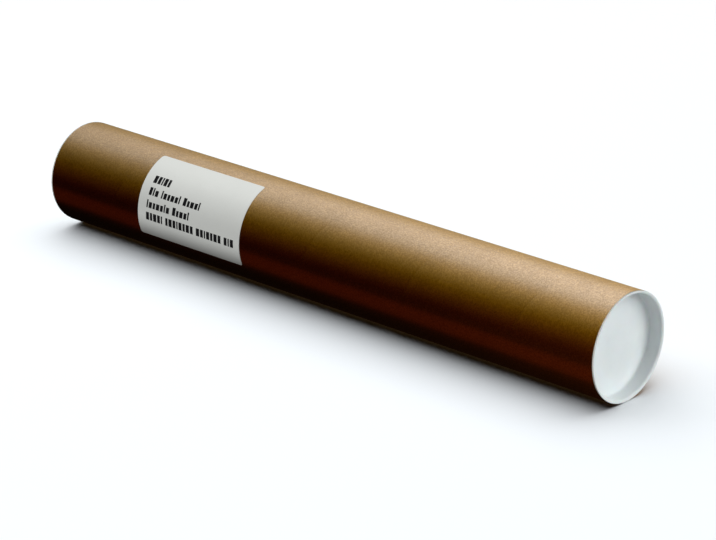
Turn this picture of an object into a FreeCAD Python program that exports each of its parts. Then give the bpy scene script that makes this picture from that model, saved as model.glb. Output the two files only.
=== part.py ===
import FreeCAD, Part
import math
import os

# Cardboard mailing tube, standing on the cap at its far end.
# Row frame: +Z runs up the tube, z = 0 is the lower cap's lip face, and the
# middle of the address label faces -Y. All sizes are in millimetres.

# Tube: spiral-wound board, cut square at both ends
bore_diameter = 76.0
board_thickness = 1.5
tube_length = 528.0

# Plug caps: two like plastic cups pushed into the ends
cap_bore_clearance = 0.05
cap_skirt_thickness = 1.0
cap_floor_thickness = 1.2
cap_recess_depth = 10.5
cap_recess_draft = 0.25
cap_lip_thickness = 1.0
cap_lip_setback = 0.1
cap_lip_seat_gap = 0.15
cap_lead_in = 0.6
cap_lip_outer_bevel = 0.3
cap_lip_inner_bevel = 0.4
cap_recess_corner_bevel = 0.8

# Address label: one sheet of paper, wrapped round part of the tube
label_length = 106.5
label_width = 68.0
label_thickness = 0.15
label_glue_thickness = 0.03
label_corner_round = 2.0
label_from_tube_end = 96.0
label_middle_angle = -90.0

# Print on the label: rows of plain blocks, each row a list of blocks per group
print_thickness = 0.04
print_cap_height = 6.0
print_low_height = 4.5
print_row_pitch = 9.6
print_top_margin = 19.5
print_left_margin = 8.8
print_block_widths = [3.4, 2.9, 1.4, 3.2, 2.4]
print_block_gap = 1.0
print_group_gap = 3.4
print_rows = [[5], [3, 6, 5], [7, 5], [5, 8, 7, 3]]
print_tall_rows = [0, 3]
print_slim_block = 2.0

tube_radius = bore_diameter / 2 + board_thickness
bore_radius = bore_diameter / 2
tube_bottom = cap_lip_thickness + cap_lip_seat_gap
tube_top = tube_bottom + tube_length
overall_height = tube_top + tube_bottom
lip_radius = tube_radius - cap_lip_setback
skirt_radius = bore_radius - cap_bore_clearance
recess_mouth_radius = skirt_radius - cap_skirt_thickness
recess_floor_radius = recess_mouth_radius - cap_recess_draft
cap_depth = cap_recess_depth + cap_floor_thickness
label_bottom = tube_bottom + label_from_tube_end
label_inner_radius = tube_radius + label_glue_thickness
label_outer_radius = label_inner_radius + label_thickness
print_outer_radius = label_outer_radius + print_thickness

ORIGIN = FreeCAD.Vector(0, 0, 0)
UP = FreeCAD.Vector(0, 0, 1)
ACROSS = FreeCAD.Vector(1, 0, 0)


def section(corners):
    """A flat face in the XZ plane, through (radius, height) corners."""
    points = [FreeCAD.Vector(radius, 0, height) for radius, height in corners]
    return Part.Face(Part.makePolygon(points + points[:1]))


def shell_patch(inner, outer, bottom, top, start_angle, end_angle):
    """A patch of a round wall, between two radii, two heights and two angles."""
    face = section([(inner, bottom), (outer, bottom), (outer, top), (inner, top)])
    face.rotate(ORIGIN, UP, start_angle)
    return face.revolve(ORIGIN, UP, end_angle - start_angle)


def arc_angle(arc_length):
    """Degrees round the tube's outside for a length measured along its surface."""
    return math.degrees(arc_length / tube_radius)


def make_tube():
    """The round board tube, open right through."""
    outside = Part.makeCylinder(tube_radius, tube_length, FreeCAD.Vector(0, 0, tube_bottom))
    bore = Part.makeCylinder(bore_radius, tube_length, FreeCAD.Vector(0, 0, tube_bottom))
    return outside.cut(bore)


def make_lower_cap():
    """A plug cap with its lip face at z = 0, its recess open downwards."""
    corners = [
        (0, cap_recess_depth),
        (recess_floor_radius - cap_recess_corner_bevel, cap_recess_depth),
        (recess_floor_radius, cap_recess_depth - cap_recess_corner_bevel),
        (recess_mouth_radius, cap_lip_inner_bevel),
        (recess_mouth_radius + cap_lip_inner_bevel, 0),
        (lip_radius - cap_lip_outer_bevel, 0),
        (lip_radius, cap_lip_outer_bevel),
        (lip_radius, cap_lip_thickness),
        (skirt_radius, cap_lip_thickness),
        (skirt_radius, cap_depth - cap_lead_in),
        (skirt_radius - cap_lead_in, cap_depth),
        (0, cap_depth),
    ]
    return section(corners).revolve(ORIGIN, UP, 360)


def make_upper_cap():
    """The same cap turned over, with its lip face at the top."""
    cap = make_lower_cap()
    cap.rotate(ORIGIN, ACROSS, 180)
    cap.translate(UP * overall_height)
    return cap


def label_corner_waste(up_side, left_side):
    """What a round corner leaves off the label's square corner."""
    half_angle = arc_angle(label_width) / 2
    round_angle = arc_angle(label_corner_round)
    reach = label_outer_radius + label_corner_round
    side = -1 if up_side else 1
    edge_angle = label_middle_angle + side * half_angle
    centre_angle = edge_angle - side * round_angle
    angles = sorted([centre_angle, edge_angle + side * round_angle])
    if left_side:
        centre_height = label_bottom + label_corner_round
        heights = [label_bottom - label_corner_round, centre_height]
    else:
        centre_height = label_bottom + label_length - label_corner_round
        heights = [centre_height, label_bottom + label_length + label_corner_round]
    square = shell_patch(bore_radius, reach, heights[0], heights[1], angles[0], angles[1])
    turn = math.radians(centre_angle)
    outward = FreeCAD.Vector(math.cos(turn), math.sin(turn), 0)
    centre = FreeCAD.Vector(0, 0, centre_height)
    plug = Part.makeCylinder(label_corner_round, reach * 2, centre, outward)
    return square.cut(plug)


def make_label():
    """The paper label, lying on the tube, with four round corners."""
    half_angle = arc_angle(label_width) / 2
    sheet = shell_patch(
        label_inner_radius,
        label_outer_radius,
        label_bottom,
        label_bottom + label_length,
        label_middle_angle - half_angle,
        label_middle_angle + half_angle,
    )
    for up_side in (True, False):
        for left_side in (True, False):
            sheet = sheet.cut(label_corner_waste(up_side, left_side))
    return sheet


def print_block(row, left, width, height):
    """One inked block: left and width run up the tube, height runs round it."""
    foot_line = print_top_margin + print_cap_height + row * print_row_pitch
    top_edge_angle = label_middle_angle - arc_angle(label_width) / 2
    start_angle = top_edge_angle + arc_angle(foot_line - height)
    end_angle = top_edge_angle + arc_angle(foot_line)
    bottom = label_bottom + left
    return shell_patch(
        label_outer_radius, print_outer_radius, bottom, bottom + width, start_angle, end_angle
    )


def make_print():
    """All the blocks of all the rows, as separate thin solids."""
    blocks = []
    for row, groups in enumerate(print_rows):
        left = print_left_margin
        for group, block_count in enumerate(groups):
            for place in range(block_count):
                width = print_block_widths[(place + group + row) % len(print_block_widths)]
                tall = row in print_tall_rows or place == 0 or width < print_slim_block
                height = print_cap_height if tall else print_low_height
                blocks.append(print_block(row, left, width, height))
                left += width + print_block_gap
            left += print_group_gap - print_block_gap
    return Part.makeCompound(blocks)


nodes = {
    "lower_cap": make_lower_cap(),
    "tube": make_tube(),
    "upper_cap": make_upper_cap(),
    "address_label": make_label(),
    "label_print": make_print(),
}

os.makedirs("parts", exist_ok=True)
for name, shape in nodes.items():
    shape.exportStep("parts/" + name + ".step")
    print(name, "solids", len(shape.Solids), "valid", shape.isValid(), "volume", round(shape.Volume, 1))
print("overall height", overall_height, "tube radius", tube_radius)
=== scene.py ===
import math

import bmesh
import bpy
from bpy.props import FloatProperty, FloatVectorProperty, IntProperty, PointerProperty
from mathutils import Matrix, Vector


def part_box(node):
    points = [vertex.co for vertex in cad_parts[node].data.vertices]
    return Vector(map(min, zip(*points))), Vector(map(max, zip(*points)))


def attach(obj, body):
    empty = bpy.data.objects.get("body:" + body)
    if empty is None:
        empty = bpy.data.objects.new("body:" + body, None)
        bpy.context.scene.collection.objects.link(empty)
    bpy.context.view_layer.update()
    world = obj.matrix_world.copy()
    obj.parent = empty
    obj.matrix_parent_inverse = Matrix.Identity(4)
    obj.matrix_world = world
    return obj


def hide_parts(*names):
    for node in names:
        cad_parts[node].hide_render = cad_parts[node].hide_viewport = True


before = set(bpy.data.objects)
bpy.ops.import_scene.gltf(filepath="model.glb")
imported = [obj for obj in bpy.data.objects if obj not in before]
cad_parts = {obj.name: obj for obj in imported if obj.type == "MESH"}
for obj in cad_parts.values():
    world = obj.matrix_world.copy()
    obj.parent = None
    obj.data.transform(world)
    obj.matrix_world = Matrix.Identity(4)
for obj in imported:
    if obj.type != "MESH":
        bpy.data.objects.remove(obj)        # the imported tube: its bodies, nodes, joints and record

bl_info = {
    "name": "Mailing Tube",
    "version": (1, 0, 0),
    "blender": (4, 5, 0),
    "location": "View3D > Sidebar > Mailing Tube",
    "description": "Finishes a cardboard mailing tube with plug caps and an address label",
    "category": "Add Mesh",
}

# The row frame in words: +Z runs up the standing tube, and the label's middle faces -Y.
# In the picture the tube lies on its side, so the picture's up is a direction round the tube.
PICTURE_UP_ANGLE = math.radians(-154.9)
LABEL_ANGLE = math.radians(-90.0)

TUBE_LOW, TUBE_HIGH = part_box("tube")
LABEL_LOW, LABEL_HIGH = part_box("address_label")
CAP_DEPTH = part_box("lower_cap")[1].z
OVERALL_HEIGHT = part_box("upper_cap")[1].z

TUBE_RADIUS = 0.0395          # lengths round the tube are measured on the board's outside
MERGE_DISTANCE = 0.000002
PAPER_RELIEF = 0.00002
FULL_TURN = 2 * math.pi
EVEN = (1.0, 1.0)             # a lamp's level at its two ends


class TubeSettings(bpy.types.PropertyGroup):
    """Sizes and colours of the wound board tube."""

    outer_radius: FloatProperty(
        name="Outer radius", description="Radius of the tube's outside", default=0.0395, unit="LENGTH"
    )
    board_thickness: FloatProperty(
        name="Board thickness", description="Thickness of the wound wall", default=0.0015, unit="LENGTH"
    )
    ply_pitch: FloatProperty(
        name="Ply pitch", description="Climb of the outer ply in one turn", default=0.097, unit="LENGTH"
    )
    joint_start: FloatProperty(
        name="Joint start",
        description="Height of the ply joint's first turn at the +X side",
        default=-0.0447,
        unit="LENGTH",
    )
    joint_half_width: FloatProperty(
        name="Joint half width", description="Half the width of the ply joint", default=0.00025, unit="LENGTH"
    )
    joint_depth: FloatProperty(
        name="Joint depth", description="How far the ply joint sinks in", default=0.00003, unit="LENGTH"
    )
    columns: IntProperty(name="Columns", description="Faces round the tube", default=144, min=24)
    rows_per_turn: IntProperty(name="Rows per turn", description="Rows of faces in a turn", default=15, min=6)
    kraft_colour: FloatVectorProperty(
        name="Kraft colour", description="Colour of the outer ply", default=(0.475, 0.335, 0.172),
        subtype="COLOR",
    )
    board_colour: FloatVectorProperty(
        name="Board colour", description="Colour of the cut board", default=(0.40, 0.29, 0.17),
        subtype="COLOR",
    )


class CapSettings(bpy.types.PropertyGroup):
    """Sizes and colours of the plug caps."""

    skirt_radius: FloatProperty(
        name="Skirt radius", description="Outside of the part in the bore", default=0.03795, unit="LENGTH"
    )
    skirt_thickness: FloatProperty(
        name="Skirt thickness", description="Wall of the skirt at the lip", default=0.001, unit="LENGTH"
    )
    lip_radius: FloatProperty(
        name="Lip radius", description="Outside of the lip", default=0.0394, unit="LENGTH"
    )
    lip_thickness: FloatProperty(
        name="Lip thickness", description="Thickness of the lip", default=0.001, unit="LENGTH"
    )
    recess_depth: FloatProperty(
        name="Recess depth", description="Depth of the cup from the lip", default=0.0105, unit="LENGTH"
    )
    recess_draft: FloatProperty(
        name="Recess draft", description="How much the recess narrows", default=0.00025, unit="LENGTH"
    )
    lead_in: FloatProperty(
        name="Lead-in", description="Bevel at the skirt's end", default=0.0006, unit="LENGTH"
    )
    outer_round: FloatProperty(
        name="Outer round", description="Radius of the lip's outer edge", default=0.0002, unit="LENGTH"
    )
    inner_round: FloatProperty(
        name="Inner round", description="Radius of the lip's inner edge", default=0.0018, unit="LENGTH"
    )
    corner_round: FloatProperty(
        name="Corner round", description="Radius in the recess's corner", default=0.0015, unit="LENGTH"
    )
    segments: IntProperty(name="Segments", description="Faces round the cap", default=160, min=24)
    plastic_colour: FloatVectorProperty(
        name="Plastic colour", description="Colour of the caps", default=(0.84, 0.87, 0.88), subtype="COLOR"
    )


class LabelSettings(bpy.types.PropertyGroup):
    """Sizes and colours of the address label and its print."""

    width: FloatProperty(name="Width", description="Size round the tube", default=0.068, unit="LENGTH")
    length: FloatProperty(name="Length", description="Size along the tube", default=0.1065, unit="LENGTH")
    inner_radius: FloatProperty(
        name="Inner radius", description="Radius of the glued side", default=0.03953, unit="LENGTH"
    )
    thickness: FloatProperty(name="Thickness", description="Paper thickness", default=0.00015, unit="LENGTH")
    corner_round: FloatProperty(
        name="Corner round", description="Radius of the corners", default=0.002, unit="LENGTH"
    )
    cap_height: FloatProperty(
        name="Tall block", description="Height of a tall printed block", default=0.006, unit="LENGTH"
    )
    low_height: FloatProperty(
        name="Low block", description="Height of a low printed block", default=0.0045, unit="LENGTH"
    )
    row_pitch: FloatProperty(
        name="Row pitch", description="Distance between printed rows", default=0.0096, unit="LENGTH"
    )
    top_margin: FloatProperty(
        name="Top margin", description="Paper above the first row", default=0.0195, unit="LENGTH"
    )
    left_margin: FloatProperty(
        name="Left margin", description="Paper before each row", default=0.0088, unit="LENGTH"
    )
    block_gap: FloatProperty(name="Block gap", description="Gap between blocks", default=0.001, unit="LENGTH")
    group_gap: FloatProperty(
        name="Group gap", description="Gap between groups", default=0.0034, unit="LENGTH"
    )
    slim_block: FloatProperty(
        name="Slim block", description="Blocks slimmer than this are tall", default=0.002, unit="LENGTH"
    )
    ink_thickness: FloatProperty(
        name="Ink thickness", description="Thickness of the print", default=0.00004, unit="LENGTH"
    )
    paper_colour: FloatVectorProperty(
        name="Paper colour", description="Colour of the label", default=(0.80, 0.80, 0.775), subtype="COLOR"
    )
    ink_colour: FloatVectorProperty(
        name="Ink colour", description="Colour of the print", default=(0.012, 0.012, 0.013), subtype="COLOR"
    )


class StageSettings(bpy.types.PropertyGroup):
    """Camera and lamps."""

    lens: FloatProperty(name="Lens", description="Focal length on a 36 mm sensor", default=142.98)
    camera_place: FloatVectorProperty(
        name="Camera place",
        description="Where the camera stands",
        default=(-0.07023, -1.60540, 1.57181),
        subtype="TRANSLATION",
        unit="LENGTH",
    )
    camera_aim: FloatVectorProperty(
        name="Camera aim",
        description="The point in the middle of the picture",
        default=(0.00764, -0.00073, 0.28890),
        subtype="TRANSLATION",
        unit="LENGTH",
    )
    strip_angle: FloatProperty(
        name="Strip angle",
        description="Turn of the strip lamps towards the camera",
        default=math.radians(16.5),
        subtype="ANGLE",
    )
    warm_strip_power: FloatProperty(name="Warm strip", description="Warm lamp above, W", default=0.315)
    cool_strip_power: FloatProperty(name="Cool strip", description="Cool lamp above, W", default=0.189)
    sky_power: FloatProperty(name="Sky", description="Broad lamp above and behind, W", default=16.5)
    low_strip_power: FloatProperty(name="Low strip", description="Lamp along the foot, W", default=0.0037)
    red_strip_power: FloatProperty(name="Red strip", description="Lamp on the dark side, W", default=0.0042)
    end_glow_power: FloatProperty(name="End glow", description="Dim lamp by the near end, W", default=0.02)
    bounce_power: FloatProperty(name="Bounce", description="Light off the floor, W", default=0.035)
    back_power: FloatProperty(name="Back", description="Lamp behind the tube, W", default=15.0)
    label_power: FloatProperty(name="Label", description="Lamp over the label, W", default=12.9)
    label_low_power: FloatProperty(name="Label foot", description="Lamp at its foot, W", default=0.0172)
    cap_power: FloatProperty(name="Cap", description="Lamp on each cap, W", default=14.0)
    cap_front_power: FloatProperty(name="Cap front", description="Soft lamp before each cap, W", default=3.8)
    cap_back_power: FloatProperty(name="Cap back", description="Lamp behind the caps, W", default=2.5)
    cap_side_power: FloatProperty(name="Cap side", description="Lamp beside the caps, W", default=14.0)
    floor_power: FloatProperty(name="Floor", description="Lamp over the floor, W", default=462.0)
    ambient: FloatProperty(name="Ambient", description="Strength of the room's own light", default=0.004)


# Small helpers for node trees


def feed(tree, socket, value):
    """Links an output to a socket, or sets the socket's own value."""
    if isinstance(value, bpy.types.NodeSocket):
        tree.links.new(value, socket)
    else:
        socket.default_value = value


def calc(tree, operation, *values):
    """A Math node on the values, and its result."""
    node = tree.nodes.new("ShaderNodeMath")
    node.operation = operation
    for place, value in enumerate(values):
        feed(tree, node.inputs[place], value)
    return node.outputs[0]


def plus(tree, first, second):
    """The sum of two values."""
    return calc(tree, "ADD", first, second)


def minus(tree, first, second):
    """The first value less the second."""
    return calc(tree, "SUBTRACT", first, second)


def times(tree, first, second):
    """The product of two values."""
    return calc(tree, "MULTIPLY", first, second)


def combine(tree, x, y, z):
    """A vector from three values."""
    node = tree.nodes.new("ShaderNodeCombineXYZ")
    for place, value in enumerate((x, y, z)):
        feed(tree, node.inputs[place], value)
    return node.outputs[0]


def separate(tree, vector):
    """The three values of a vector."""
    node = tree.nodes.new("ShaderNodeSeparateXYZ")
    feed(tree, node.inputs[0], vector)
    return node.outputs


def add_node(tree, kind, **values):
    """A node of a kind, with its inputs set or linked by name."""
    node = tree.nodes.new(kind)
    for name, value in values.items():
        feed(tree, node.inputs[name.replace("_", " ")], value)
    return node


def new_geometry_tree(name, inputs):
    """A geometry node group with named inputs and one geometry output."""
    tree = bpy.data.node_groups.new(name, "GeometryNodeTree")
    tree.interface.new_socket("Geometry", in_out="INPUT", socket_type="NodeSocketGeometry")
    for label, kind in inputs:
        tree.interface.new_socket(label, in_out="INPUT", socket_type=kind)
    tree.interface.new_socket("Geometry", in_out="OUTPUT", socket_type="NodeSocketGeometry")
    start = tree.nodes.new("NodeGroupInput")
    end = tree.nodes.new("NodeGroupOutput")
    return tree, start.outputs, end.inputs[0]


def dress(tree, geometry, material, result):
    """Gives the geometry its material and leads it to the tree's output."""
    dressed = add_node(tree, "GeometryNodeSetMaterial", Geometry=geometry.outputs[0], Material=material)
    tree.links.new(dressed.outputs[0], result)


def apply_tree(piece, tree, values):
    """Runs a geometry tree on a piece with the given inputs and keeps the plain mesh."""
    modifier = piece.modifiers.new(tree.name, "NODES")
    modifier.node_group = tree
    for item in tree.interface.items_tree:
        if item.in_out == "INPUT" and item.name in values:
            modifier[item.identifier] = values[item.name]
    bpy.context.view_layer.update()
    graph = bpy.context.evaluated_depsgraph_get()
    mesh = bpy.data.meshes.new_from_object(piece.evaluated_get(graph))
    piece.modifiers.remove(modifier)
    piece.data = mesh
    mesh.name = piece.name
    return mesh


def place_on_cylinder(tree, radius, angle, height):
    """Position of a point from its radius, its angle round the tube and its height."""
    across = times(tree, radius, calc(tree, "COSINE", angle))
    along = times(tree, radius, calc(tree, "SINE", angle))
    return combine(tree, across, along, height)


# Pieces


def put_in_scene(name, data):
    """A new object in the scene's own collection."""
    item = bpy.data.objects.new(name, data)
    bpy.context.scene.collection.objects.link(item)
    return item


def form_to_mesh(form, mesh):
    """Turns a form's faces outwards, writes them to a mesh and lets the form go."""
    bmesh.ops.recalc_face_normals(form, faces=form.faces)
    form.to_mesh(mesh)
    form.free()


def new_piece(name, mesh, material, body, slot, *replaced):
    """Puts a mesh in the scene as a finished piece in its material."""
    piece = put_in_scene(name, mesh)
    mesh.materials.clear()
    mesh.materials.append(material)
    finish_piece(piece, body, slot, *replaced)


def finish_piece(piece, body, slot, *replaced):
    """Declares what a piece rides on and hides the nodes that it stands for; its slot is not used."""
    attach(piece, body)
    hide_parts(*replaced)


def smooth_with_creases(mesh, crease_angle):
    """Smooth shading, but sharp where faces meet at more than the angle."""
    mesh.polygons.foreach_set("use_smooth", [True] * len(mesh.polygons))
    mesh.set_sharp_from_angle(angle=crease_angle)


def wound_wall(tree, inputs):
    """The outer ply: a skin whose rows follow the winding, cut square at both ends."""
    columns = inputs["Columns"]
    rows = times(tree, inputs["Rows per turn"], inputs["Turns"])
    grid = add_node(
        tree,
        "GeometryNodeMeshGrid",
        Size_X=columns,
        Size_Y=rows,
        Vertices_X=plus(tree, columns, 1.0),
        Vertices_Y=plus(tree, rows, 1.0),
    )
    flat = separate(tree, tree.nodes.new("GeometryNodeInputPosition").outputs[0])
    column = plus(tree, flat[0], times(tree, columns, 0.5))
    row = calc(tree, "ROUND", plus(tree, flat[1], times(tree, rows, 0.5)))
    share = calc(tree, "DIVIDE", column, columns)
    turn = calc(tree, "FLOOR", calc(tree, "DIVIDE", plus(tree, row, 0.5), inputs["Rows per turn"]))
    step = minus(tree, row, times(tree, turn, inputs["Rows per turn"]))
    half = inputs["Joint half width"]
    pitch = inputs["Ply pitch"]
    plain_rows = minus(tree, inputs["Rows per turn"], 2.0)
    plain_height = minus(tree, pitch, times(tree, half, 2.0))
    plain_step = calc(tree, "DIVIDE", plain_height, plain_rows)
    fine = times(tree, minus(tree, step, 1.0), half)
    coarse_count = calc(tree, "MAXIMUM", minus(tree, step, 2.0), 0.0)
    coarse = times(tree, coarse_count, minus(tree, plain_step, half))
    climb = times(tree, pitch, minus(tree, turn, share))
    wound = plus(tree, inputs["Joint start"], climb)
    height = plus(tree, wound, plus(tree, fine, coarse))
    above = calc(tree, "GREATER_THAN", height, inputs["Bottom"])
    below = calc(tree, "LESS_THAN", height, inputs["Top"])
    on_joint = calc(tree, "COMPARE", step, 1.0, 0.1)
    in_joint = times(tree, on_joint, times(tree, above, below))
    sunk = times(tree, in_joint, inputs["Joint depth"])
    radius = minus(tree, inputs["Outer radius"], sunk)
    kept = calc(tree, "MINIMUM", calc(tree, "MAXIMUM", height, inputs["Bottom"]), inputs["Top"])
    angle = times(tree, share, FULL_TURN)
    place = place_on_cylinder(tree, radius, angle, kept)
    return add_node(tree, "GeometryNodeSetPosition", Geometry=grid.outputs[0], Position=place).outputs[0]


def bore_and_ends(tree, inputs):
    """The wall's inner side and its two square-cut ends, as one band of three rows."""
    columns = inputs["Columns"]
    grid = add_node(
        tree,
        "GeometryNodeMeshGrid",
        Size_X=columns,
        Size_Y=3.0,
        Vertices_X=plus(tree, columns, 1.0),
        Vertices_Y=4,
    )
    flat = separate(tree, tree.nodes.new("GeometryNodeInputPosition").outputs[0])
    share = calc(tree, "DIVIDE", plus(tree, flat[0], times(tree, columns, 0.5)), columns)
    on_outside = calc(tree, "GREATER_THAN", calc(tree, "ABSOLUTE", flat[1]), 1.0)
    wall = minus(tree, inputs["Outer radius"], inputs["Bore radius"])
    radius = plus(tree, inputs["Bore radius"], times(tree, wall, on_outside))
    at_top = calc(tree, "LESS_THAN", flat[1], 0.0)
    span = minus(tree, inputs["Top"], inputs["Bottom"])
    height = plus(tree, inputs["Bottom"], times(tree, span, at_top))
    place = place_on_cylinder(tree, radius, times(tree, share, FULL_TURN), height)
    return add_node(tree, "GeometryNodeSetPosition", Geometry=grid.outputs[0], Position=place).outputs[0]


def wound_tube_tree():
    """Geometry nodes for the whole tube, wound from sizes alone."""
    lengths = ["Outer radius", "Bore radius", "Bottom", "Top", "Ply pitch"]
    lengths += ["Joint start", "Joint half width", "Joint depth", "Turns", "Columns", "Rows per turn"]
    inputs = [(name, "NodeSocketFloat") for name in lengths] + [("Material", "NodeSocketMaterial")]
    tree, given, result = new_geometry_tree("Wound tube", inputs)
    join = tree.nodes.new("GeometryNodeJoinGeometry")
    tree.links.new(wound_wall(tree, given), join.inputs[0])
    tree.links.new(bore_and_ends(tree, given), join.inputs[0])
    merged = add_node(tree, "GeometryNodeMergeByDistance", Geometry=join.outputs[0], Distance=MERGE_DISTANCE)
    solid = add_node(tree, "GeometryNodeRealizeInstances", Geometry=merged.outputs[0])
    dress(tree, solid, given["Material"], result)
    return tree


def make_tube(settings, material):
    """The wound tube, with its ply joint as a fine groove."""
    piece = put_in_scene("wound_tube", bpy.data.meshes.new("wound_tube"))
    reach = TUBE_HIGH.z - settings.joint_start + settings.ply_pitch + settings.joint_half_width
    values = {
        "Outer radius": settings.outer_radius,
        "Bore radius": settings.outer_radius - settings.board_thickness,
        "Bottom": TUBE_LOW.z,
        "Top": TUBE_HIGH.z,
        "Ply pitch": settings.ply_pitch,
        "Joint start": settings.joint_start,
        "Joint half width": settings.joint_half_width,
        "Joint depth": settings.joint_depth,
        "Turns": float(math.ceil(reach / settings.ply_pitch)),
        "Columns": float(settings.columns),
        "Rows per turn": float(settings.rows_per_turn),
        "Material": material,
    }
    mesh = apply_tree(piece, wound_tube_tree(), values)
    smooth_with_creases(mesh, math.radians(45))
    finish_piece(piece, "tube", "kraft_board", "tube")


def rounded_outline(corners, arc_steps):
    """Points along (radius, height, rounding) corners, with an arc at each rounding."""
    points = []
    count = len(corners)
    for index, (radius, height, rounding) in enumerate(corners):
        here = Vector((radius, height))
        if rounding == 0:
            points.append(here)
            continue
        back = (Vector(corners[index - 1][:2]) - here).normalized()
        ahead = (Vector(corners[(index + 1) % count][:2]) - here).normalized()
        half_turn = math.acos(max(-1.0, min(1.0, back.dot(ahead)))) / 2
        centre = here + (back + ahead).normalized() * (rounding / math.sin(half_turn))
        start = here + back * (rounding / math.tan(half_turn)) - centre
        end = here + ahead * (rounding / math.tan(half_turn)) - centre
        sweep = start.angle_signed(end)
        for step in range(arc_steps + 1):
            points.append(centre + Matrix.Rotation(-sweep * step / arc_steps, 2) @ start)
    return points


def lathe(name, outline, segments):
    """A closed mesh turned about the Z axis from an outline that starts and ends on the axis."""
    form = bmesh.new()
    rings = []
    for radius, height in outline:
        if radius < MERGE_DISTANCE:
            rings.append([form.verts.new((0, 0, height))])
            continue
        ring = []
        for segment in range(segments):
            angle = FULL_TURN * segment / segments
            ring.append(form.verts.new((radius * math.cos(angle), radius * math.sin(angle), height)))
        rings.append(ring)
    for lower, upper in zip(rings, rings[1:]):
        for segment in range(segments):
            after = (segment + 1) % segments
            corners = [lower[segment % len(lower)], lower[after % len(lower)]]
            corners += [upper[after % len(upper)], upper[segment % len(upper)]]
            form.faces.new(dict.fromkeys(corners))
    mesh = bpy.data.meshes.new(name)
    form_to_mesh(form, mesh)
    smooth_with_creases(mesh, math.radians(50))
    return mesh


def cap_outline(settings):
    """Half the section of a plug cap whose lip face is at z = 0, from axis to axis."""
    mouth = settings.skirt_radius - settings.skirt_thickness
    floor_ring = mouth - settings.recess_draft
    soft_edge = 0.00015
    corners = [
        (0.0, settings.recess_depth, 0),
        (floor_ring * 0.5, settings.recess_depth, 0),
        (floor_ring, settings.recess_depth, settings.corner_round),
        (mouth, 0.0, settings.inner_round),
        (settings.lip_radius, 0.0, settings.outer_round),
        (settings.lip_radius, settings.lip_thickness, soft_edge),
        (settings.skirt_radius, settings.lip_thickness, soft_edge),
        (settings.skirt_radius, CAP_DEPTH - settings.lead_in, soft_edge),
        (settings.skirt_radius - settings.lead_in, CAP_DEPTH, soft_edge),
        (0.0, CAP_DEPTH, 0),
    ]
    return rounded_outline(corners, 6)


def make_caps(settings, material):
    """Both plug caps: the lower one as drawn, the upper one turned over."""
    outline = cap_outline(settings)
    lower = lathe("lower_plug", outline, settings.segments)
    upper = lathe("upper_plug", outline, settings.segments)
    turn_over = Matrix.Translation((0, 0, OVERALL_HEIGHT)) @ Matrix.Rotation(math.pi, 4, "X")
    upper.transform(turn_over)
    new_piece("lower_plug", lower, material, "lower_cap", "white_plastic", "lower_cap")
    new_piece("upper_plug", upper, material, "upper_cap", "white_plastic", "upper_cap")


def label_columns(settings):
    """Places across the label, closer together in the round corners."""
    corner_steps = 7
    middle_steps = 60
    radius = settings.corner_round
    places = []
    for step in range(corner_steps):
        places.append(radius * (1 - math.cos(math.pi / 2 * step / corner_steps)))
    for step in range(middle_steps + 1):
        places.append(radius + (settings.width - 2 * radius) * step / middle_steps)
    for step in reversed(range(corner_steps)):
        places.append(settings.width - radius * (1 - math.cos(math.pi / 2 * step / corner_steps)))
    return places


def label_sheet(settings):
    """The label's mesh: a thin closed sheet round the tube, with round corners."""
    rows = 24
    start_angle = LABEL_ANGLE - settings.width / 2 / TUBE_RADIUS
    form = bmesh.new()
    sides = []
    for radius in (settings.inner_radius, settings.inner_radius + settings.thickness):
        grid = []
        for place in label_columns(settings):
            to_edge = min(place, settings.width - place, settings.corner_round)
            inset = settings.corner_round - math.sqrt(
                max(0.0, settings.corner_round**2 - (settings.corner_round - to_edge) ** 2)
            )
            angle = start_angle + place / TUBE_RADIUS
            column = []
            for row in range(rows + 1):
                height = LABEL_LOW.z + inset + (settings.length - 2 * inset) * row / rows
                column.append(form.verts.new((radius * math.cos(angle), radius * math.sin(angle), height)))
            grid.append(column)
        sides.append(grid)
    inner, outer = sides
    last = len(inner) - 1
    for column in range(last):
        for row in range(rows):
            here = (column, row), (column + 1, row), (column + 1, row + 1), (column, row + 1)
            form.faces.new([outer[c][r] for c, r in here])
            form.faces.new([inner[c][r] for c, r in reversed(here)])
        after = column + 1
        for row in (0, rows):
            form.faces.new([inner[column][row], inner[after][row], outer[after][row], outer[column][row]])
    for column in (0, last):
        inside, outside = inner[column], outer[column]
        for row in range(rows):
            form.faces.new([inside[row], outside[row], outside[row + 1], inside[row + 1]])
    mesh = bpy.data.meshes.new("label_sheet")
    form_to_mesh(form, mesh)
    smooth_with_creases(mesh, math.radians(45))
    return mesh


PRINT_BLOCK_WIDTHS = [0.0034, 0.0029, 0.0014, 0.0032, 0.0024]
PRINT_ROWS = [[5], [3, 6, 5], [7, 5], [5, 8, 7, 3]]
PRINT_TALL_ROWS = [0, 3]


def print_layout(settings):
    """Middle and size of every printed block, flat: x along the tube, y down the label."""
    middles = []
    sizes = []
    for row, groups in enumerate(PRINT_ROWS):
        left = settings.left_margin
        foot = settings.top_margin + settings.cap_height + row * settings.row_pitch
        for group, count in enumerate(groups):
            for place in range(count):
                width = PRINT_BLOCK_WIDTHS[(place + group + row) % len(PRINT_BLOCK_WIDTHS)]
                tall = row in PRINT_TALL_ROWS or place == 0 or width < settings.slim_block
                height = settings.cap_height if tall else settings.low_height
                middles.append((left + width / 2, foot - height / 2, 0.0))
                sizes.append((width, height))
                left += width + settings.block_gap
            left += settings.group_gap - settings.block_gap
    return middles, sizes


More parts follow.
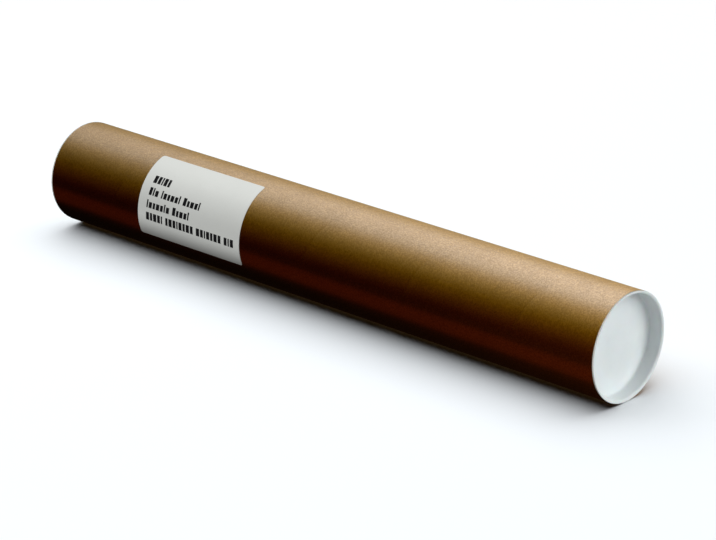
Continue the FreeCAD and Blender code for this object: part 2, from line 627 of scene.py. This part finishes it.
def printed_rows_tree():
    """Geometry nodes that set a thin block on every point and wrap them round the tube."""
    names = ["Tube radius", "Start angle", "Bottom", "Paper radius", "Ink thickness"]
    inputs = [(name, "NodeSocketFloat") for name in names] + [("Material", "NodeSocketMaterial")]
    tree, given, result = new_geometry_tree("Printed rows", inputs)
    block = add_node(tree, "GeometryNodeMeshCube", Size=(1, 1, 1), Vertices_X=2, Vertices_Y=9, Vertices_Z=2)
    size = tree.nodes.new("GeometryNodeInputNamedAttribute")
    size.data_type = "FLOAT_VECTOR"
    size.inputs["Name"].default_value = "block_size"
    flat_size = separate(tree, size.outputs[0])
    scale = combine(tree, flat_size[0], flat_size[1], given["Ink thickness"])
    blocks = add_node(
        tree, "GeometryNodeInstanceOnPoints", Points=given["Geometry"], Instance=block.outputs[0], Scale=scale
    )
    solid = add_node(tree, "GeometryNodeRealizeInstances", Geometry=blocks.outputs[0])
    flat = separate(tree, tree.nodes.new("GeometryNodeInputPosition").outputs[0])
    angle = plus(tree, given["Start angle"], calc(tree, "DIVIDE", flat[1], given["Tube radius"]))
    lift = plus(tree, flat[2], times(tree, given["Ink thickness"], 0.5))
    radius = plus(tree, given["Paper radius"], lift)
    place = place_on_cylinder(tree, radius, angle, plus(tree, given["Bottom"], flat[0]))
    wrapped = add_node(tree, "GeometryNodeSetPosition", Geometry=solid.outputs[0], Position=place)
    dress(tree, wrapped, given["Material"], result)
    return tree


def make_print(settings, material):
    """The printed blocks, thin and wrapped on the label."""
    middles, sizes = print_layout(settings)
    points = bpy.data.meshes.new("printed_rows")
    points.from_pydata(middles, [], [])
    attribute = points.attributes.new("block_size", "FLOAT_VECTOR", "POINT")
    for place, (width, height) in enumerate(sizes):
        attribute.data[place].vector = (width, height, 0)
    piece = put_in_scene("printed_rows", points)
    values = {
        "Tube radius": TUBE_RADIUS,
        "Start angle": LABEL_ANGLE - settings.width / 2 / TUBE_RADIUS,
        "Bottom": LABEL_LOW.z,
        "Paper radius": settings.inner_radius + settings.thickness,
        "Ink thickness": settings.ink_thickness,
        "Material": material,
    }
    mesh = apply_tree(piece, printed_rows_tree(), values)
    form = bmesh.new()
    form.from_mesh(mesh)
    form_to_mesh(form, mesh)
    finish_piece(piece, "tube", "black_print", "label_print")


# Materials


def new_material(name):
    """A material with an empty tree, its shader and its output."""
    material = bpy.data.materials.new(name)
    material.use_nodes = True
    tree = material.node_tree
    tree.nodes.clear()
    shader = tree.nodes.new("ShaderNodeBsdfPrincipled")
    output = tree.nodes.new("ShaderNodeOutputMaterial")
    tree.links.new(shader.outputs[0], output.inputs["Surface"])
    return material, tree, shader


def noise(tree, vector, scale, detail=4.0, roughness=0.55):
    """A noise value of a scale, in cells to the metre."""
    return add_node(
        tree, "ShaderNodeTexNoise", Vector=vector, Scale=scale, Detail=detail, Roughness=roughness
    ).outputs[0]


def stretch(tree, vector, low, high):
    """A value spread from low..high to 0..1."""
    node = add_node(tree, "ShaderNodeMapRange", Value=vector, From_Min=low, From_Max=high)
    return node.outputs[0]


def blend_colours(tree, share, first, second, mode="MIX"):
    """Two colours mixed by a share."""
    node = tree.nodes.new("ShaderNodeMix")
    node.data_type = "RGBA"
    node.blend_type = mode
    feed(tree, node.inputs[0], share)
    feed(tree, node.inputs[6], first)
    feed(tree, node.inputs[7], second)
    return node.outputs[2]


def opaque(colour, factor=1.0):
    """A colour with its alpha, made lighter or darker by a factor."""
    return (colour[0] * factor, colour[1] * factor, colour[2] * factor, 1.0)


def scaled(tree, vector, factors):
    """A vector with each of its values multiplied by a factor."""
    node = tree.nodes.new("ShaderNodeVectorMath")
    node.operation = "MULTIPLY"
    feed(tree, node.inputs[0], vector)
    node.inputs[1].default_value = factors
    return node.outputs[0]


def from_axis(tree, x, y):
    """Distance of a point from the tube's axis."""
    return calc(tree, "SQRT", plus(tree, times(tree, x, x), times(tree, y, y)))


def object_place(tree):
    """Object coordinates, in metres in the row frame."""
    return tree.nodes.new("ShaderNodeTexCoord").outputs["Object"]


def tinted(tree, share, colour, low, high):
    """A colour that runs from one factor of itself to another."""
    return blend_colours(tree, share, opaque(colour, low), opaque(colour, high))


def set_bump(tree, shader, height, strength):
    """Relief of a height in metres on a shader's normal."""
    bump = add_node(tree, "ShaderNodeBump", Height=height, Strength=strength, Distance=1.0)
    feed(tree, shader.inputs["Normal"], bump.outputs[0])


def set_grain_roughness(tree, shader, grain, low, high):
    """Roughness that follows the grain between two values."""
    rough = add_node(
        tree, "ShaderNodeMapRange", Value=grain["Grain"], From_Min=0.3, From_Max=0.7, To_Min=low, To_Max=high
    )
    feed(tree, shader.inputs["Roughness"], rough.outputs[0])


def paper_grain_group():
    """Shared paper grain: soft clouds, fine grain and lying fibres, each from 0 to 1."""
    group = bpy.data.node_groups.new("Paper grain", "ShaderNodeTree")
    group.interface.new_socket("Vector", in_out="INPUT", socket_type="NodeSocketVector")
    group.interface.new_socket("Fibre scale", in_out="INPUT", socket_type="NodeSocketFloat")
    for label in ("Clouds", "Grain", "Fibres"):
        group.interface.new_socket(label, in_out="OUTPUT", socket_type="NodeSocketFloat")
    given = group.nodes.new("NodeGroupInput").outputs
    result = group.nodes.new("NodeGroupOutput").inputs
    clouds = noise(group, given["Vector"], 45.0, detail=3.0)
    grain = noise(group, given["Vector"], given["Fibre scale"], detail=2.0, roughness=0.6)
    up_the_tube = scaled(group, given["Vector"], (1.0, 1.0, 0.16))
    lying = noise(group, up_the_tube, times(group, given["Fibre scale"], 0.9), detail=2.0)
    round_the_tube = scaled(group, given["Vector"], (0.25, 0.25, 1.3))
    crossing = noise(group, round_the_tube, given["Fibre scale"], detail=2.0)
    ridges = calc(group, "ABSOLUTE", minus(group, lying, 0.5))
    cross_ridges = calc(group, "ABSOLUTE", minus(group, crossing, 0.5))
    fibres = stretch(group, calc(group, "MINIMUM", ridges, cross_ridges), 0.0, 0.05)
    feed(group, result["Clouds"], clouds)
    feed(group, result["Grain"], grain)
    feed(group, result["Fibres"], fibres)


def paper_grain(tree, group, vector, fibre_scale):
    """The shared paper grain placed in a material."""
    node = tree.nodes.new("ShaderNodeGroup")
    node.node_tree = group
    feed(tree, node.inputs["Vector"], vector)
    node.inputs["Fibre scale"].default_value = fibre_scale
    return node.outputs


def kraft_material(settings, group):
    """Brown kraft ply with fibres, streaks along the winding, a dark joint and cut board inside."""
    material, tree, shader = new_material("kraft_board")
    place = object_place(tree)
    x, y, z = separate(tree, place)
    turns = calc(tree, "DIVIDE", z, settings.ply_pitch)
    unwound = add_node(tree, "ShaderNodeVectorRotate", Vector=place, Angle=times(tree, turns, FULL_TURN))
    unwound.rotation_type = "Z_AXIS"
    flat_x, flat_y, flat_z = separate(tree, unwound.outputs[0])
    streak_place = combine(tree, flat_x, flat_y, times(tree, flat_z, 0.03))
    streaks = noise(tree, streak_place, 140.0, detail=5.0, roughness=0.6)
    wide_streaks = noise(tree, streak_place, 38.0, detail=2.0)
    grain = paper_grain(tree, group, place, 900.0)

    # The joint's place in the winding, where 0 is on the joint and 0.5 is half a turn off it
    angle_share = calc(tree, "DIVIDE", calc(tree, "ARCTAN2", y, x), FULL_TURN)
    wind = minus(tree, plus(tree, turns, angle_share), settings.joint_start / settings.ply_pitch)
    past_joint = calc(tree, "FRACT", plus(tree, wind, 0.5))
    from_joint = calc(tree, "ABSOLUTE", minus(tree, past_joint, 0.5))
    joint = minus(tree, 1.0, stretch(tree, from_joint, 0.0, 0.0042))
    joint_wear = times(tree, joint, stretch(tree, wide_streaks, 0.30, 0.60))

    kraft = settings.kraft_colour
    base = tinted(tree, stretch(tree, grain["Clouds"], 0.3, 0.7), kraft, 0.95, 1.035)
    pale_streak, dark_streak = opaque((1.03, 1.03, 1.04)), opaque((0.95, 0.94, 0.92))
    streaky = blend_colours(tree, stretch(tree, streaks, 0.35, 0.7), dark_streak, pale_streak)
    toned = blend_colours(tree, 0.75, base, streaky, "MULTIPLY")
    pale_speck, dark_speck = opaque((1.14, 1.13, 1.12)), opaque((0.76, 0.72, 0.66))
    specks = blend_colours(tree, stretch(tree, grain["Grain"], 0.38, 0.66), dark_speck, pale_speck)
    grained = blend_colours(tree, 1.0, toned, specks, "MULTIPLY")
    fibre_share = times(tree, minus(tree, 1.0, grain["Fibres"]), 0.22)
    fibred = blend_colours(tree, fibre_share, grained, opaque(kraft, 0.62))
    flecks = stretch(tree, noise(tree, place, 620.0, detail=2.0, roughness=0.5), 0.70, 0.76)
    flecked = blend_colours(tree, times(tree, flecks, 0.55), fibred, opaque(kraft, 0.30))
    jointed = blend_colours(tree, times(tree, joint_wear, 0.15), flecked, opaque(kraft, 0.42))

    # Cut board and bore, with the plies as rings of one thickness
    ply_thickness = 0.00038
    radius = from_axis(tree, x, y)
    inside = calc(tree, "LESS_THAN", radius, settings.outer_radius - 0.0002)
    ply_wave = calc(tree, "SINE", times(tree, radius, FULL_TURN / ply_thickness))
    plies = tinted(tree, stretch(tree, ply_wave, -1.0, 1.0), settings.board_colour, 0.8, 1.1)
    board = blend_colours(tree, 0.6, plies, specks, "MULTIPLY")
    feed(tree, shader.inputs["Base Color"], blend_colours(tree, inside, jointed, board))
    set_grain_roughness(tree, shader, grain, 0.60, 0.78)
    shader.inputs["Specular IOR Level"].default_value = 0.3
    shader.inputs["Sheen Weight"].default_value = 0.12
    shader.inputs["Sheen Roughness"].default_value = 0.4

    relief = plus(tree, times(tree, grain["Grain"], 0.00004), times(tree, streaks, 0.0001))
    waves = plus(tree, relief, times(tree, wide_streaks, 0.0002))
    set_bump(tree, shader, minus(tree, waves, times(tree, joint, 0.00002)), 0.6)
    return material


def plastic_material(settings):
    """White soft plastic with a fine moulded skin, faint scuffs and a painted dark ring of shade on the lip's
    outer edge.
    """
    material, tree, shader = new_material("white_plastic")
    place = object_place(tree)
    skin = noise(tree, place, 1400.0, detail=3.0)
    flow = noise(tree, place, 60.0, detail=3.0)
    scuff_place = scaled(tree, place, (1.0, 0.14, 0.5))
    scuffs = stretch(tree, noise(tree, scuff_place, 420.0, detail=4.0, roughness=0.7), 0.60, 0.78)
    plastic = settings.plastic_colour
    base = tinted(tree, stretch(tree, flow, 0.3, 0.7), plastic, 0.97, 1.02)
    scuffed = blend_colours(tree, times(tree, scuffs, 0.12), base, opaque(plastic, 0.82))
    x, y, _ = separate(tree, place)
    radius = from_axis(tree, x, y)
    # Painted shade: a dark ring round the lip's outer edge, standing in for the shade in the gap where the
    # lip meets the tube's end
    painted_edge_shade = stretch(tree, radius, settings.lip_radius - 0.00025, settings.lip_radius - 0.00005)
    colour = blend_colours(tree, times(tree, painted_edge_shade, 0.75), scuffed, opaque((0.30, 0.27, 0.23)))
    feed(tree, shader.inputs["Base Color"], colour)
    rough = plus(tree, 0.36, times(tree, scuffs, 0.18))
    feed(tree, shader.inputs["Roughness"], plus(tree, rough, times(tree, flow, 0.06)))
    shader.inputs["Subsurface Weight"].default_value = 0.12
    shader.inputs["Subsurface Scale"].default_value = 0.0012
    shader.inputs["Specular IOR Level"].default_value = 0.42
    set_bump(tree, shader, plus(tree, times(tree, skin, 0.000012), times(tree, flow, 0.00008)), 0.5)
    return material


def label_material(settings, group):
    """Smooth white label paper with a faint fibre."""
    material, tree, shader = new_material("label_paper")
    grain = paper_grain(tree, group, object_place(tree), 1500.0)
    paper = settings.paper_colour
    base = tinted(tree, stretch(tree, grain["Clouds"], 0.3, 0.7), paper, 0.975, 1.01)
    speck_share = times(tree, stretch(tree, grain["Grain"], 0.35, 0.7), 0.5)
    specked = blend_colours(tree, speck_share, base, opaque(paper, 1.03))
    fibre_share = times(tree, minus(tree, 1.0, grain["Fibres"]), 0.06)
    colour = blend_colours(tree, fibre_share, specked, opaque(paper, 0.8))
    feed(tree, shader.inputs["Base Color"], colour)
    set_grain_roughness(tree, shader, grain, 0.5, 0.62)
    shader.inputs["Specular IOR Level"].default_value = 0.35
    set_bump(tree, shader, times(tree, grain["Grain"], PAPER_RELIEF), 0.4)
    return material


def ink_material(settings, group):
    """Black print that lies in the paper's grain."""
    material, tree, shader = new_material("black_print")
    grain = paper_grain(tree, group, object_place(tree), 1800.0)
    worn = stretch(tree, grain["Grain"], 0.62, 0.75)
    worn_ink = opaque((0.10, 0.10, 0.10))
    colour = blend_colours(tree, times(tree, worn, 0.35), opaque(settings.ink_colour), worn_ink)
    feed(tree, shader.inputs["Base Color"], colour)
    feed(tree, shader.inputs["Roughness"], plus(tree, 0.45, times(tree, worn, 0.2)))
    shader.inputs["Specular IOR Level"].default_value = 0.3
    set_bump(tree, shader, times(tree, grain["Grain"], PAPER_RELIEF), 0.4)
    return material


# Stage


def round_direction(angle):
    """A level direction at an angle round the tube."""
    return Vector((math.cos(angle), math.sin(angle), 0))


def aimed(place, target, up):
    """A matrix that stands at a place, looks at a target and keeps a direction up."""
    back = (place - target).normalized()
    right = up.cross(back).normalized()
    true_up = back.cross(right)
    turn = Matrix((right, true_up, back)).transposed()
    return Matrix.Translation(place) @ turn.to_4x4()


def make_camera(settings):
    """The camera at the photograph's viewing angle, with the lying tube level."""
    data = bpy.data.cameras.new("camera")
    data.lens = settings.lens
    data.sensor_width = 36.0
    camera = put_in_scene("camera", data)
    up = round_direction(PICTURE_UP_ANGLE)
    camera.matrix_world = aimed(Vector(settings.camera_place), Vector(settings.camera_aim), up)
    bpy.context.scene.camera = camera


def make_lamp(name, degrees, distance, aim_height, rise, size, power, colour, receivers, ends=EVEN):
    """A soft box lamp for some pieces only, at an angle round the tube and a distance from its axis.

    It aims at a height on the axis, stands higher than that by its rise, and has its long side up the tube.
    """
    target = Vector((0, 0, aim_height))
    place = target + round_direction(math.radians(degrees)) * distance + Vector((0, 0, rise))
    data = bpy.data.lights.new(name, "AREA")
    data.shape = "RECTANGLE"
    data.size, data.size_y = size
    data.energy = power
    data.color = colour
    if ends != EVEN:
        data.use_nodes = True
        tree = data.node_tree
        glow = next(node for node in tree.nodes if node.type == "EMISSION")
        along = separate(tree, tree.nodes.new("ShaderNodeNewGeometry").outputs["Parametric"])[1]
        level = add_node(tree, "ShaderNodeMapRange", Value=along, To_Min=ends[0], To_Max=ends[1])
        feed(tree, glow.inputs["Strength"], level.outputs[0])
    lamp = put_in_scene(name, data)
    lamp.matrix_world = aimed(place, target, Vector((0.001, 0.002, 1)))
    lamp.visible_camera = False
    lamp.visible_glossy = False
    group = bpy.data.collections.new(name + " receivers")
    for piece in receivers:
        group.objects.link(bpy.data.objects[piece])
    lamp.light_linking.receiver_collection = group


def mix_shaders(tree, share, first, second, output_kind):
    """Two shaders mixed by a share and led to the tree's output."""
    mix = tree.nodes.new("ShaderNodeMixShader")
    feed(tree, mix.inputs[0], share)
    tree.links.new(first.outputs[0], mix.inputs[1])
    tree.links.new(second.outputs[0], mix.inputs[2])
    output = tree.nodes.new(output_kind)
    tree.links.new(mix.outputs[0], output.inputs["Surface"])


def make_world(settings):
    """A white room for the camera, and a dim one for light."""
    world = bpy.data.worlds.new("room")
    bpy.context.scene.world = world
    world.use_nodes = True
    tree = world.node_tree
    tree.nodes.clear()
    path = tree.nodes.new("ShaderNodeLightPath").outputs
    seen = calc(tree, "MAXIMUM", path["Is Camera Ray"], path["Is Transmission Ray"])
    dim = add_node(tree, "ShaderNodeBackground", Color=(1, 0.6, 0.42, 1), Strength=settings.ambient)
    white = add_node(tree, "ShaderNodeBackground", Color=(1, 1, 1, 1), Strength=1.0)
    mix_shaders(tree, seen, dim, white, "ShaderNodeOutputWorld")


def make_floor():
    """The white floor that the lying tube rests on in the picture, clear from behind and far away."""
    reach = 1.2
    clear_from, clear_by = 0.45, 1.0
    down = -round_direction(PICTURE_UP_ANGLE)
    along = Vector((0, 0, 1))
    across = along.cross(down)
    middle = down * TUBE_RADIUS + along * OVERALL_HEIGHT / 2
    corners = [middle - across * reach - along * reach, middle + across * reach - along * reach]
    corners += [middle + across * reach + along * reach, middle - across * reach + along * reach]
    mesh = bpy.data.meshes.new("floor")
    mesh.from_pydata(corners, [], [(0, 1, 2, 3)])
    if mesh.polygons[0].normal.dot(down) > 0:
        mesh.flip_normals()
    floor = put_in_scene("floor", mesh)
    material = bpy.data.materials.new("white_floor")
    material.use_nodes = True
    tree = material.node_tree
    tree.nodes.clear()
    off_middle = tree.nodes.new("ShaderNodeVectorMath")
    off_middle.operation = "DISTANCE"
    feed(tree, off_middle.inputs[0], object_place(tree))
    off_middle.inputs[1].default_value = middle
    far = add_node(
        tree, "ShaderNodeMapRange", Value=off_middle.outputs["Value"], From_Min=clear_from, From_Max=clear_by
    )
    far.interpolation_type = "SMOOTHSTEP"
    paint = add_node(tree, "ShaderNodeBsdfDiffuse", Color=(0.9, 0.9, 0.9, 1))
    clear = tree.nodes.new("ShaderNodeBsdfTransparent")
    behind = tree.nodes.new("ShaderNodeNewGeometry").outputs["Backfacing"]
    share = calc(tree, "MAXIMUM", behind, far.outputs[0])
    mix_shaders(tree, share, paint, clear, "ShaderNodeOutputMaterial")
    mesh.materials.append(material)
    floor.visible_shadow = False
    floor.visible_diffuse = False
    floor.visible_glossy = False


def make_lamps(settings):
    """Strips and broad lamps over the lying tube, and lamps of their own for label, caps and floor."""
    board = ["wound_tube"]
    label = ["label_sheet", "printed_rows"]
    caps = ["upper_plug", "lower_plug"]
    middle = OVERALL_HEIGHT / 2
    label_middle = (LABEL_LOW.z + LABEL_HIGH.z) / 2
    picture_up = math.degrees(PICTURE_UP_ANGLE)
    over = picture_up + math.degrees(settings.strip_angle)
    gentle = (0.8, 1.2)
    paper_white = (1.0, 1.025, 1.015)
    cap_white = (0.96, 1.0, 1.0)

    # Name, angle round the tube in degrees, distance from its axis, height aimed at, rise,
    # width and length, power, colour, pieces lit, and level at the low and the high end
    lamps = [
        ("warm_strip", over, 0.0715, middle, 0, (0.03, 1.5), settings.warm_strip_power,
         (1.0, 0.725, 0.02), board, (0.21, 1.66)),
        ("cool_strip", over, 0.0454, middle, 0, (0.0277, 1.5), settings.cool_strip_power,
         (0.05, 0.29, 1.0), board, (0.0, 1.8)),
        ("sky_lamp", 169.5, 1.2, middle, 0.35, (0.4, 0.9), settings.sky_power,
         (0.70, 0.705, 0.736), board),
        ("low_strip", -52.5, 0.0419, middle, 0, (0.013, 1.5), settings.low_strip_power,
         (1.0, 0.12, 0.03), board, gentle),
        ("red_strip", -84.5, 0.0514, middle, 0, (0.01, 1.5), settings.red_strip_power,
         (1.0, 0.01, 0.01), board, gentle),
        ("near_end_glow", -70, 0.25, 0.5, 0.125, (0.1, 0.1), settings.end_glow_power,
         (1.0, 0.3, 0.05), board),
        ("floor_bounce", 44, 0.0482, middle, 0, (0.01, 1.5), settings.bounce_power,
         (1.0, 0.8, 0.62), board),
        ("back_fill", 95, 1.6, middle, 0, (0.5, 1.2), settings.back_power, (1.0, 0.82, 0.56), board),
        ("label_lamp", -139, 1.2, label_middle, 0, (0.4, 0.4), settings.label_power, paper_white, label),
        ("label_low_lamp", -58.5, 0.0573, label_middle, 0, (0.01, 0.4), settings.label_low_power,
         paper_white, label),
    ]
    cap_lamp_angle = math.radians(50)
    cap_lamp_out = 1.2 * math.cos(cap_lamp_angle)
    cap_lamp_rise = 1.2 * math.sin(cap_lamp_angle)
    for end, height, side in (("upper", OVERALL_HEIGHT, 1), ("lower", 0.0, -1)):
        lamps += [
            (end + "_cap_lamp", 152, cap_lamp_out, height, cap_lamp_rise * side, (1.0, 1.0),
             settings.cap_power, cap_white, caps),
            (end + "_cap_front", -40, 0.45, height, 0.9 * side, (1.2, 1.2), settings.cap_front_power,
             cap_white, caps),
        ]
    lamps += [
        ("cap_back", 95, 1.6, middle, 0, (0.5, 1.2), settings.cap_back_power, (1.0, 1.0, 1.0), caps),
        ("cap_side", -110, 1.0, middle, 0, (0.4, 0.4), settings.cap_side_power, cap_white, caps),
        ("floor_lamp", picture_up, 4.0, middle, -1.0, (8.4, 8.8), settings.floor_power,
         (1.0, 1.05, 1.09), ["floor"]),
    ]
    for lamp in lamps:
        make_lamp(*lamp)


# Operators and panel


class MAILTUBE_OT_tube(bpy.types.Operator):
    """Winds the board tube"""

    bl_idname = "mailtube.tube"
    bl_label = "Wind the tube"

    def execute(self, context):
        settings = context.scene.mail_tube
        make_tube(settings, kraft_material(settings, bpy.data.node_groups["Paper grain"]))
        return {"FINISHED"}


class MAILTUBE_OT_caps(bpy.types.Operator):
    """Moulds the two plug caps"""

    bl_idname = "mailtube.caps"
    bl_label = "Mould the caps"

    def execute(self, context):
        settings = context.scene.mail_caps
        make_caps(settings, plastic_material(settings))
        return {"FINISHED"}


class MAILTUBE_OT_label(bpy.types.Operator):
    """Sticks the address label on the tube"""

    bl_idname = "mailtube.label"
    bl_label = "Stick the label"

    def execute(self, context):
        settings = context.scene.mail_label
        material = label_material(settings, bpy.data.node_groups["Paper grain"])
        new_piece("label_sheet", label_sheet(settings), material, "tube", "label_paper", "address_label")
        return {"FINISHED"}


class MAILTUBE_OT_print(bpy.types.Operator):
    """Prints plain rows of blocks on the label"""

    bl_idname = "mailtube.print_rows"
    bl_label = "Print the rows"

    def execute(self, context):
        settings = context.scene.mail_label
        make_print(settings, ink_material(settings, bpy.data.node_groups["Paper grain"]))
        return {"FINISHED"}


class MAILTUBE_OT_stage(bpy.types.Operator):
    """Sets the camera, the lamps, the white room and the floor"""

    bl_idname = "mailtube.stage"
    bl_label = "Set the stage"

    def execute(self, context):
        settings = context.scene.mail_stage
        context.scene.view_settings.view_transform = "Standard"
        make_camera(settings)
        make_world(settings)
        make_floor()
        make_lamps(settings)
        return {"FINISHED"}


class MAILTUBE_PT_panel(bpy.types.Panel):
    """Lists the steps that finish the mailing tube"""

    bl_label = "Mailing Tube"
    bl_idname = "MAILTUBE_PT_panel"
    bl_space_type = "VIEW_3D"
    bl_region_type = "UI"
    bl_category = "Mailing Tube"

    def draw(self, context):
        for step in STEPS:
            self.layout.operator(step.bl_idname)


STEPS = (MAILTUBE_OT_tube, MAILTUBE_OT_caps, MAILTUBE_OT_label, MAILTUBE_OT_print, MAILTUBE_OT_stage)
SETTINGS = {
    "mail_tube": TubeSettings,
    "mail_caps": CapSettings,
    "mail_label": LabelSettings,
    "mail_stage": StageSettings,
}


def register():
    for kind in (*SETTINGS.values(), *STEPS, MAILTUBE_PT_panel):
        bpy.utils.register_class(kind)
    for name, kind in SETTINGS.items():
        setattr(bpy.types.Scene, name, PointerProperty(type=kind))


def unregister():
    for name in SETTINGS:
        delattr(bpy.types.Scene, name)
    for kind in reversed((*SETTINGS.values(), *STEPS, MAILTUBE_PT_panel)):
        bpy.utils.unregister_class(kind)


def main():
    """Makes every piece and the stage."""
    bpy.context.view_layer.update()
    register()
    paper_grain_group()
    bpy.ops.mailtube.tube()
    bpy.ops.mailtube.caps()
    bpy.ops.mailtube.label()
    bpy.ops.mailtube.print_rows()
    bpy.ops.mailtube.stage()


if __name__ == "__main__":
    main()
